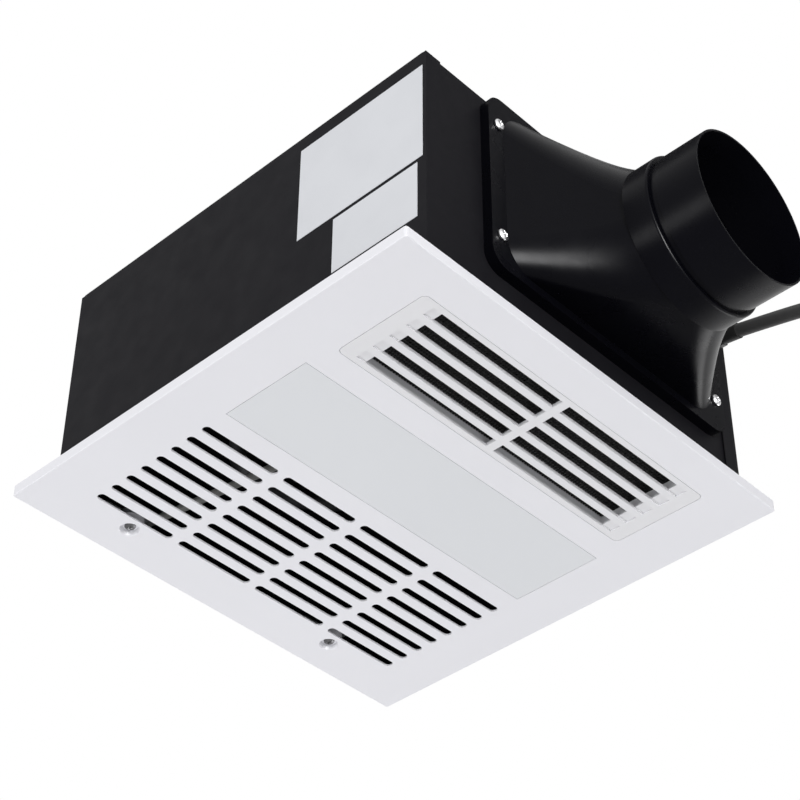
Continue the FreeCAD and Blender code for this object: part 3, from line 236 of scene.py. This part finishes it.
# spangle, drift, sheen and grain hold what their functions take, where a finish has them
finishes = {
    "paint": {
        "name": "satinBlackPaint", "colour": (0.0055, 0.0052, 0.0072), "roughness": 0.5, "specular": 0.06,
        "drift": ((0.0051, 0.0048, 0.0067), (0.0059, 0.0056, 0.0077), 9.0),
        "sheen": (0.46, 0.56, 60.0),
        "grain": (900.0, 0.12, 0.0002),
    },
    "duct": {
        "name": "mouldedBlackPlastic", "colour": (0.002, 0.002, 0.0036), "roughness": 0.28, "specular": 0.06,
        "drift": ((0.0018, 0.0018, 0.0033), (0.0022, 0.0022, 0.0039), 14.0),
        "sheen": (0.26, 0.31, 80.0),
        "grain": (1600.0, 0.08, 0.00015),
    },
    "flap": {
        "name": "flapPlastic", "colour": (0.03, 0.03, 0.031), "roughness": 0.5, "specular": 0.2,
        "drift": ((0.027, 0.027, 0.028), (0.033, 0.033, 0.034), 30.0),
        "grain": (1400.0, 0.1, 0.00015),
    },
    "white": {
        "name": "whitePanelPlastic", "colour": (0.80, 0.80, 0.84), "roughness": 0.4, "specular": 0.3,
        "drift": ((0.794, 0.794, 0.834), (0.806, 0.806, 0.846), 7.0),
        "sheen": (0.36, 0.46, 50.0),
        "grain": (2400.0, 0.06, 0.00012),
    },
    "warm": {
        "name": "heatGrillePlastic", "colour": (0.765, 0.765, 0.79), "roughness": 0.38, "specular": 0.3,
        "drift": ((0.757, 0.757, 0.782), (0.773, 0.773, 0.798), 10.0),
        "sheen": (0.34, 0.44, 60.0),
        "grain": (2200.0, 0.06, 0.00012),
    },
    "opal": {
        "name": "opalDiffuser", "colour": (0.715, 0.729, 0.757), "roughness": 0.55, "specular": 0.3,
        "drift": ((0.708, 0.722, 0.75), (0.722, 0.736, 0.764), 5.0),
        "grain": (3000.0, 0.1, 0.00012, 1.0),
    },
    "zinc": {
        "name": "brightZincPlate", "colour": (0.62, 0.62, 0.63), "roughness": 0.26, "metallic": 1.0,
        "sheen": (0.2, 0.36, 700.0),
        "grain": (2600.0, 0.1, 0.0001),
    },
    # painted shade: a darker copy of the zinc plate above, for the panel screws, standing in for the shade
    # in the panel's dishes
    "paintedShadeZinc": {
        "name": "zincPlatePaintedShade", "colour": (0.17, 0.17, 0.175), "roughness": 0.38, "metallic": 1.0,
        "sheen": (0.3, 0.44, 700.0),
        "grain": (2600.0, 0.1, 0.0001),
    },
    "steel": {
        "name": "groundSteel", "colour": (0.56, 0.56, 0.57), "roughness": 0.28, "metallic": 1.0,
        "sheen": (0.22, 0.38, 300.0, (1.0, 1.0, 0.05)),
        "grain": (1200.0, 0.08, 0.0001),
    },
    "galvanised": {
        "name": "galvanisedSheet", "colour": (0.48, 0.49, 0.5), "roughness": 0.42, "metallic": 1.0,
        "spangle": ((0.40, 0.41, 0.42), (0.56, 0.57, 0.58), 160.0),
        "sheen": (0.36, 0.52, 120.0),
    },
    "smoked": {
        "name": "smokedZinc", "colour": (0.06, 0.06, 0.063), "roughness": 0.5, "metallic": 1.0,
        "spangle": ((0.05, 0.05, 0.053), (0.07, 0.07, 0.073), 160.0),
        "sheen": (0.44, 0.58, 120.0),
    },
    "aluminium": {
        "name": "plainAluminium", "colour": (0.66, 0.67, 0.68), "roughness": 0.34, "metallic": 1.0,
        "sheen": (0.28, 0.44, 260.0, (1.0, 0.08, 1.0)),
        "grain": (1500.0, 0.06, 0.0001),
    },
    "element": {
        "name": "blackenedElement", "colour": (0.02, 0.02, 0.021), "roughness": 0.5, "specular": 0.3,
        "sheen": (0.4, 0.6, 240.0),
        "grain": (1500.0, 0.1, 0.0001),
    },
    "wheel": {
        "name": "wheelPlastic", "colour": (0.03, 0.03, 0.032), "roughness": 0.46, "specular": 0.25,
        "drift": ((0.026, 0.026, 0.028), (0.034, 0.034, 0.036), 20.0),
        "grain": (1500.0, 0.08, 0.00015),
    },
    "motor": {
        "name": "motorPaint", "colour": (0.03, 0.03, 0.033), "roughness": 0.4, "specular": 0.3,
        "sheen": (0.34, 0.5, 90.0),
        "grain": (800.0, 0.12, 0.0002),
    },
    "core": {
        "name": "steelLaminations", "colour": (0.22, 0.215, 0.21), "roughness": 0.5, "metallic": 1.0,
        "sheen": (0.42, 0.6, 150.0),
        "grain": (2000.0, 0.5, 0.0002, 0.0, (0.02, 0.02, 1.0)),
    },
    "rubber": {
        "name": "softRubber", "colour": (0.016, 0.016, 0.016), "roughness": 0.72, "specular": 0.25,
        "drift": ((0.014, 0.014, 0.014), (0.019, 0.019, 0.019), 90.0),
        "grain": (1800.0, 0.15, 0.0002),
    },
    "jacket": {
        "name": "leadJacket", "colour": (0.053, 0.053, 0.0535), "roughness": 0.5, "specular": 0.3,
        "drift": ((0.05, 0.05, 0.0505), (0.056, 0.056, 0.0565), 70.0),
        "grain": (1300.0, 0.12, 0.0002),
    },
    "gland": {
        "name": "glandNylon", "colour": (0.014, 0.014, 0.0145), "roughness": 0.48, "specular": 0.3,
        "drift": ((0.012, 0.012, 0.0125), (0.017, 0.017, 0.0175), 120.0),
        "grain": (1500.0, 0.12, 0.0002),
    },
    "pale": {
        "name": "paleNylon", "colour": (0.7, 0.69, 0.65), "roughness": 0.48, "specular": 0.4,
        "drift": ((0.68, 0.67, 0.63), (0.72, 0.71, 0.67), 40.0),
        "grain": (1500.0, 0.1, 0.00015),
    },
    "sleeve": {
        "name": "greySleeve", "colour": (0.36, 0.36, 0.35), "roughness": 0.5, "specular": 0.3,
        "drift": ((0.33, 0.33, 0.32), (0.39, 0.39, 0.38), 60.0),
        "grain": (1500.0, 0.1, 0.00015),
    },
    "dark": {
        "name": "darkMoulding", "colour": (0.022, 0.02, 0.019), "roughness": 0.42, "specular": 0.35,
        "drift": ((0.018, 0.0165, 0.0155), (0.028, 0.025, 0.024), 60.0),
        "grain": (1400.0, 0.1, 0.00015),
    },
    "reflector": {
        "name": "reflectorPaint", "colour": (0.8, 0.8, 0.79), "roughness": 0.5, "specular": 0.4,
        "sheen": (0.44, 0.58, 70.0),
        "grain": (1000.0, 0.1, 0.0002),
    },
    "board": {
        "name": "boardMask", "colour": (0.78, 0.79, 0.77), "roughness": 0.35, "specular": 0.5,
        "drift": ((0.76, 0.77, 0.75), (0.8, 0.81, 0.79), 40.0),
        "grain": (1800.0, 0.08, 0.0001),
    },
    "phosphor": {
        "name": "phosphorGel", "colour": (0.75, 0.6, 0.16), "roughness": 0.3, "specular": 0.5,
        "drift": ((0.7, 0.54, 0.12), (0.8, 0.66, 0.2), 600.0),
    },
    "brass": {
        "name": "plainBrass", "colour": (0.68, 0.5, 0.2), "roughness": 0.3, "metallic": 1.0,
        "sheen": (0.24, 0.4, 500.0),
        "grain": (2000.0, 0.08, 0.0001),
    },
    "film": {
        "name": "labelFilm", "colour": (0.65, 0.663, 0.695), "roughness": 0.42, "specular": 0.3,
        "drift": ((0.64, 0.653, 0.685), (0.66, 0.673, 0.705), 30.0),
        "sheen": (0.36, 0.5, 90.0),
        "grain": (700.0, 0.05, 0.0002),
    },
    "copper": {
        "name": "bareCopper", "colour": (0.72, 0.36, 0.2), "roughness": 0.3, "metallic": 1.0,
        "drift": ((0.66, 0.32, 0.17), (0.78, 0.41, 0.24), 500.0),
        "sheen": (0.24, 0.42, 900.0),
    },
    "wire": {
        "name": "guardWire", "colour": (0.012, 0.012, 0.0125), "roughness": 0.42, "specular": 0.35,
        "sheen": (0.34, 0.52, 300.0),
    },
    "cores": {
        "name": "coreInsulation", "colour": (0.3, 0.2, 0.15), "roughness": 0.45, "specular": 0.4,
        "grain": (1800.0, 0.08, 0.0001),
    },
}


def makeFinishes(table):
    made = {}
    details = {"spangle": addSpangle, "drift": addDrift, "sheen": addSheenDrift, "grain": addGrain}
    for key, look in table.items():
        body = (look["colour"], look["roughness"], look.get("metallic", 0.0), look.get("specular", 0.5))
        made[key] = newMaterial(look["name"], *body)
        for detail, add in details.items():
            if detail in look:
                add(made[key], *look[detail])
    addCoreShade(made["cores"])
    return made


finish = makeFinishes(finishes)
print("finishes made", len(finish))

# Which finish each solid of the frame wears

wears = {
    "paint": ("housing_wrap", "duct_wall", "rear_wall", "plenum_wall", "deck_plate"),
    "duct": ("duct_adapter", "collar_ring"),
    "flap": ("damper_flap",),
    "white": ("grille_panel",),
    "warm": ("heater_grille",),
    "opal": ("led_diffuser",),
    "zinc": ("adapter_screws", "motor_screws"),
    "paintedShadeZinc": ("grille_screws",),
    "steel": ("damper_pin", "heater_shaft", "wheel_nut", "motor_shaft", "motor_bearings"),
    "galvanised": (
        "screw_brackets", "heater_box", "fan_casing", "motor_plate", "wiring_box", "wiring_cover",
    ),
    "smoked": ("inlet_ring", "scroll_band"),
    "aluminium": ("heater_wheel",),
    "element": ("heater_bars", "heater_fins"),
    "wheel": ("exhaust_wheel",),
    "motor": ("heater_motor", "motor_shell"),
    "core": ("motor_rotor", "motor_stator"),
    "rubber": ("heater_bush", "motor_grommets"),
    "jacket": ("supply_lead",),
    "gland": ("cord_gland", "gland_nut"),
    "pale": ("led_driver", "terminal_block"),
    "sleeve": ("wire_sleeve",),
    "dark": ("element_ends", "thermal_cutoff", "run_capacitor"),
    "reflector": ("led_tray",),
    "board": ("led_boards",),
    "phosphor": ("led_chips",),
    "brass": ("earth_screw",),
    "film": ("blank_labels",),
    "copper": ("core_tips",),
    "wire": ("guard_mesh",),
    "cores": ("cord_cores",),
}


def dressNodes(table):
    for key, names in table.items():
        for name in names:
            mesh = nodes[name].data
            mesh.materials.clear()
            mesh.materials.append(finish[key])
    dressed = {name for names in table.values() for name in names}
    print("solids dressed", len(dressed), "left", sorted(set(nodes) - dressed))


dressNodes(wears)

# Supply lead: the route is the solid's own, in metres

lead = {
    "radius": 0.0044,
    "length": 0.2378,
    "steps": 16,
    "roundness": 8,
    "route": (
        (0.156, 0.127, 0.113),
        (0.192, 0.128, 0.1052),
        (0.226, 0.1295, 0.0968),
        (0.246, 0.136, 0.0855),
        (0.258, 0.147, 0.0685),
        (0.2615, 0.161, 0.0495),
        (0.256, 0.1775, 0.0335),
        (0.243, 0.1945, 0.0225),
        (0.2245, 0.2095, 0.0175),
        (0.203, 0.2215, 0.0165),
    ),
}


def makeLead(spec):
    # a round jacket on a smooth spline through the route's control points
    curve = bpy.data.curves.new("supplyLead", "CURVE")
    curve.dimensions = "3D"
    spline = curve.splines.new("NURBS")
    spline.points.add(len(spec["route"]) - 1)
    flat = np.hstack([np.array(spec["route"]), np.ones((len(spec["route"]), 1))]).ravel()
    spline.points.foreach_set("co", flat)
    spline.order_u = 3
    spline.use_endpoint_u = True
    spline.resolution_u = spec["steps"]
    curve.bevel_depth = spec["radius"]
    curve.bevel_resolution = spec["roundness"]
    curve.use_fill_caps = True
    curve.materials.append(finish["jacket"])
    piece = bpy.data.objects.new("supplyLead", curve)
    bpy.context.scene.collection.objects.link(piece)
    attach(piece, "housing")
    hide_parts("supply_lead")
    return piece


supplyLead = makeLead(lead)

# Stripped cores and their bare copper ends

strip = {
    "ringRadius": lead["radius"] * 0.55,
    "start": 0.0003,
    "length": 0.028,
    "radius": 0.00125,
    "splay": 0.1,
    "bend": 0.0016,
    "tipRadius": 0.0006,
    "tipLength": 0.008,
    "sides": 14,
    "steps": 18,
    "tipSides": 42,
    "tipTwist": 4.0,
    "strands": 7,
    "strandDepth": 0.22,
    "shades": (
        (0.12, 0.035, 0.012),
        (0.012, 0.08, 0.3),
        (0.05, 0.26, 0.05),
        (0.62, 0.6, 0.58),
        (0.32, 0.02, 0.02),
    ),
}


def coreAxes(spec, route):
    # start and direction of each core, evenly set round the lead's last run
    end, before = np.array(route[-1]), np.array(route[-2])
    heading = (end - before) / np.linalg.norm(end - before)
    side = np.cross(heading, (0.0, 0.0, 1.0))
    side /= np.linalg.norm(side)
    up = np.cross(side, heading)
    angle = np.linspace(0, 2 * math.pi, len(spec["shades"]), endpoint=False)[:, None]
    out = np.cos(angle) * side + np.sin(angle) * up
    aim = heading + out * spec["splay"]
    aim /= np.linalg.norm(aim, axis=1, keepdims=True)
    return end + heading * spec["start"] + out * spec["ringRadius"], aim, out


def makeCores(spec, route):
    # each core is a circle along a straight line that bows out by a half sine,
    # and each tip is a circle with lobes for its strands, twisted along its length
    starts, aims, outs = coreAxes(spec, route)
    along = np.linspace(0, 1, spec["steps"])[:, None]
    corePoints, coreFaces, coreShade, tipPoints, tipFaces = [], [], [], [], []
    coreCount = tipCount = 0
    for start, aim, out, shade in zip(starts, aims, outs, spec["shades"]):
        path = start + aim * spec["length"] * along + out * spec["bend"] * np.sin(math.pi * along)
        points, quads, caps = tubeAlong(path, spec["radius"], spec["sides"])
        corePoints.append(points)
        coreFaces += (quads + coreCount).tolist() + (caps + coreCount).tolist()
        coreShade.append(np.tile((*shade, 1.0), (len(points), 1)))
        coreCount += len(points)
        tip = start + aim * (spec["length"] + spec["tipLength"] * along)
        lay = (spec["tipSides"], spec["tipTwist"], spec["strands"], spec["strandDepth"])
        points, quads, caps = tubeAlong(tip, spec["tipRadius"], *lay)
        tipPoints.append(points)
        tipFaces += (quads + tipCount).tolist() + (caps + tipCount).tolist()
        tipCount += len(points)
    made = []
    for name, points, faces, key, node, slot in (
        ("strippedCores", corePoints, coreFaces, "cores", "cord_cores", "core_jacket"),
        ("copperTips", tipPoints, tipFaces, "copper", "core_tips", "bare_copper"),
    ):
        piece = meshPiece(name, np.vstack(points), faces, finish[key])
        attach(piece, "housing")
        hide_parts(node)
        made.append(piece)
    colour = made[0].data.attributes.new("coreShade", "FLOAT_COLOR", "POINT")
    colour.data.foreach_set("color", np.vstack(coreShade).astype(np.float32).ravel())
    return made


leadEnds = makeCores(strip, lead["route"])
print("supply lead laid")

# Woven guard behind the heater slots

weave = {"pitch": 0.0022, "wire": 0.00032, "wave": 0.00022}


def makeWeave(spec):
    # two sets of square wires: each wire's height changes sides at every crossing,
    # so that neighbours pass over and under by turns
    low, high = (np.array(c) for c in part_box("guard_mesh"))
    middle = (low[2] + high[2]) / 2
    across = np.arange(low[0] + spec["wire"], high[0], spec["pitch"])
    along = np.arange(low[1] + spec["wire"], high[1], spec["pitch"])
    allPoints, allFaces, count = [], [], 0
    corner = np.array([(-1, -1), (1, -1), (1, 1), (-1, 1)]) * spec["wire"]
    for lines, steps, flip in ((across, along, False), (along, across, True)):
        index, step = np.meshgrid(np.arange(len(lines)), np.arange(len(steps)), indexing="ij")
        sign = 1.0 - 2.0 * ((index + step + flip) % 2)
        height = middle + spec["wave"] * sign
        shape = (len(lines), len(steps), 4)
        place = np.broadcast_to(lines[:, None, None], shape) + corner[None, None, :, 0]
        run = np.broadcast_to(steps[None, :, None], shape)
        rise = height[..., None] + corner[None, None, :, 1]
        points = np.stack([run, place, rise] if flip else [place, run, rise], axis=-1).reshape(-1, 3)
        last = (len(steps) - 1) * 4
        ends = [(3, 2, 1, 0), (last, last + 1, last + 2, last + 3)]
        quads = np.vstack([gridFaces(len(steps), 4, True), ends])
        if not flip:
            quads = quads[:, ::-1]
        every = (quads[None, :, :] + (np.arange(len(lines)) * len(steps) * 4)[:, None, None]).reshape(-1, 4)
        allPoints.append(points)
        allFaces.append(every + count)
        count += len(points)
    faces = np.vstack(allFaces).tolist()
    piece = meshPiece("guardWeave", np.vstack(allPoints), faces, finish["wire"], False)
    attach(piece, "housing")
    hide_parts("guard_mesh")
    return piece


makeWeave(weave)
print("guard woven")

# Screws with domed heads and cross sockets

adapterScrew = {
    "headRadius": 0.0037,
    "headHeight": 0.0026,
    "rimShare": 0.35,
    "shank": 0.0015,
    "length": 0.0116,
    "pointLength": 0.002,
    "thread": 0.0011,
    "threadShare": 0.13,
    "plainRows": 3,
    "socketDepth": 0.0012,
    "socketSlope": 0.5,
    "armHalf": 0.00048,
    "armReach": 0.0019,
    "armEdge": 0.00014,
    "columns": 96,
    "domeRows": 44,
    "shankRows": 110,
    "firstSpin": 0.5,
    "nextSpin": 1.3,
}
panelScrew = dict(adapterScrew, headRadius=0.0034, headHeight=0.002, length=0.0110)


def screwSurface(spec):
    # a turned outline: dome, rim, underside and shank. The dome sinks where two crossed bars cover it,
    # and the shank swells by a wave that climbs one pitch each turn
    columns, rim, edge = spec["columns"], spec["rimShare"], spec["armEdge"]
    angle = np.linspace(0, 2 * math.pi, columns, endpoint=False)[None, :]
    rise = np.linspace(0, 1, spec["domeRows"])
    domeR = spec["headRadius"] * np.sin(rise * math.pi / 2)
    domeZ = spec["headHeight"] * (rim + (1 - rim) * np.cos(rise * math.pi / 2))
    shankZ = np.linspace(0, -spec["length"], spec["shankRows"])
    point = np.clip((spec["length"] + shankZ) / spec["pointLength"], 0.0, 1.0)
    r = np.concatenate([domeR, [spec["headRadius"], spec["shank"]], spec["shank"] * point])
    z = np.concatenate([domeZ, [0.0, 0.0], shankZ])
    r = np.repeat(r[:, None], columns, axis=1)
    z = np.repeat(z[:, None], columns, axis=1)
    x, y = r * np.cos(angle), r * np.sin(angle)
    small, large = np.minimum(np.abs(x), np.abs(y)), np.maximum(np.abs(x), np.abs(y))
    inArm = np.clip((spec["armHalf"] - small) / edge, 0, 1)
    inArm = inArm * np.clip((spec["armReach"] - large) / edge, 0, 1)
    onDome = (np.arange(len(r)) < len(domeR))[:, None]
    z = z - spec["socketDepth"] * inArm * onDome * (1 - spec["socketSlope"] * large / spec["armReach"])
    turn = z / spec["thread"] + angle / (2 * math.pi)
    onShank = (np.arange(len(r)) > len(domeR) + spec["plainRows"])[:, None]
    swell = spec["threadShare"] * np.abs(2 * (turn - np.floor(turn + 0.5)))
    r = np.where(onShank, r * (1 - spec["threadShare"] + swell), r)
    points = np.stack([r * np.cos(angle), r * np.sin(angle), z], axis=-1).reshape(-1, 3)
    return points, gridFaces(len(r), columns, True)[:, ::-1]


def makeScrews(name, spec, places, outward, node, key):
    # copies of one screw, turned so that its head points outward, each at its own angle
    base, quads = screwSurface(spec)
    turn = Vector((0, 0, 1)).rotation_difference(Vector(outward)).to_matrix()
    allPoints, allFaces = [], []
    for i, place in enumerate(places):
        spin = np.array(turn @ Matrix.Rotation(spec["firstSpin"] + spec["nextSpin"] * i, 3, "Z"))
        allPoints.append(base @ spin.T + np.array(place))
        allFaces.append(quads + i * len(base))
    piece = meshPiece(name, np.vstack(allPoints), np.vstack(allFaces).tolist(), finish[key])
    closePoles(piece)
    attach(piece, "housing")
    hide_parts(node)
    return piece


flange = {"face": 0.1555, "middleY": 0.015, "middleZ": 0.0945, "reachY": 0.0955, "reachZ": 0.044}
adapterPlaces = [
    (flange["face"], flange["middleY"] + a * flange["reachY"], flange["middleZ"] + b * flange["reachZ"])
    for a in (-1, 1)
    for b in (-1, 1)
]
makeScrews("adapterScrewSet", adapterScrew, adapterPlaces, (1, 0, 0), "adapter_screws", "zinc")
dish = {"x": -0.1328, "nearY": -0.0906, "farY": 0.0771, "floor": -0.004}
panelPlaces = [(dish["x"], y, dish["floor"]) for y in (dish["nearY"], dish["farY"])]
# the panel screws wear the darker zinc, painted shade for the dishes they sit in
makeScrews("panelScrewSet", panelScrew, panelPlaces, (0, 0, -1), "grille_screws", "paintedShadeZinc")
print("screws set")

# Studio: pale floor far below, white all round, soft lamps and two cards

studio = {
    "floorHeight": -2.4,
    "floorHalf": 6.0,
    "floorShade": (0.86, 0.86, 0.86),
    "floorDrift": ((0.85, 0.85, 0.85), (0.87, 0.87, 0.87), 0.8),
    "matt": (0.9, 0.0, 0.1),  # roughness, metallic and specular level of the floor and the cards
    "fill": 0.62,
    "lamps": (
        # name, place, target, size, power, whether it lights matt surfaces, whether gloss mirrors it
        ("keyLamp", (2.05, -1.15, -0.28), (0.05, 0.0, 0.04), 0.8, 26.0, True, False),
        ("sideLamp", (-0.88, -2.58, -0.52), (0.24, -0.03, 0.05), 0.8, 14.5, True, True),
        ("underLamp", (-1.5, 0.1, -1.85), (0.0, 0.0, 0.0), 1.2, 17.8, True, False),
        ("edgeSheen", (2.14, -0.8, -0.29), (0.165, -0.06, 0.04), 1.0, 225.0, False, True),
        ("backSheen", (0.28, 2.2, -0.95), (0.19, 0.045, 0.028), 1.8, 45.0, False, True),
    ),
    "cards": (
        # name, middle, target, half width, shade: only mirrored, they keep the duct side
        # and its upper rims dark
        ("greyCard", (1.1, 1.05, 1.45), (0.16, -0.03, 0.07), 1.0, 0.46),
        ("darkCard", (-0.86, 0.37, 1.73), (0.2, -0.03, 0.07), 0.75, 0.05),
    ),
}


def makeStudio(spec):
    half, height = spec["floorHalf"], spec["floorHeight"]
    pale = newMaterial("paleFloor", spec["floorShade"], *spec["matt"])
    addDrift(pale, *spec["floorDrift"])
    square = [Vector((x, y, 0)) for x, y in ((-1, -1), (1, -1), (1, 1), (-1, 1))]
    corners = [c * half + Vector((0, 0, height)) for c in square]
    meshPiece("studioFloor", corners, [(0, 1, 2, 3)], pale, False)
    for name, middle, target, reach, shade in spec["cards"]:
        grey = newMaterial(name, (shade,) * 3, *spec["matt"])
        aim = (Vector(target) - Vector(middle)).to_track_quat("-Z", "Y").to_matrix()
        corners = [Vector(middle) + aim @ (c * reach) for c in square]
        card = meshPiece(name, corners, [(0, 1, 2, 3)], grey, False)
        card.visible_camera = card.visible_diffuse = card.visible_shadow = False
    for name, place, target, size, power, onMatt, onGloss in spec["lamps"]:
        data = bpy.data.lights.new(name, "AREA")
        data.shape = "SQUARE"
        data.size = size
        data.energy = power
        lamp = bpy.data.objects.new(name, data)
        aim = (Vector(target) - Vector(place)).to_track_quat("-Z", "Y")
        lamp.matrix_world = Matrix.Translation(place) @ aim.to_matrix().to_4x4()
        lamp.visible_diffuse = onMatt
        lamp.visible_glossy = onGloss
        bpy.context.scene.collection.objects.link(lamp)
    # the world is white to the camera, gloss and glass, and gives the fill to all else
    world = bpy.data.worlds.new("whiteRoom")
    bpy.context.scene.world = world
    world.use_nodes = True
    tree = world.node_tree
    light = tree.nodes["Background"]
    light.inputs["Color"].default_value = (1.0, 1.0, 1.0, 1.0)
    path = tree.nodes.new("ShaderNodeLightPath")
    first = tree.nodes.new("ShaderNodeMath")
    first.operation = "ADD"
    second = tree.nodes.new("ShaderNodeMath")
    second.operation = "ADD"
    second.use_clamp = True
    span = tree.nodes.new("ShaderNodeMapRange")
    span.inputs["To Min"].default_value = spec["fill"]
    span.inputs["To Max"].default_value = 1.0
    tree.links.new(path.outputs["Is Camera Ray"], first.inputs[0])
    tree.links.new(path.outputs["Is Glossy Ray"], first.inputs[1])
    tree.links.new(first.outputs[0], second.inputs[0])
    tree.links.new(path.outputs["Is Transmission Ray"], second.inputs[1])
    tree.links.new(second.outputs[0], span.inputs["Value"])
    tree.links.new(span.outputs["Result"], light.inputs["Strength"])


makeStudio(studio)
bpy.context.scene.view_settings.view_transform = "Standard"
print("studio lit")
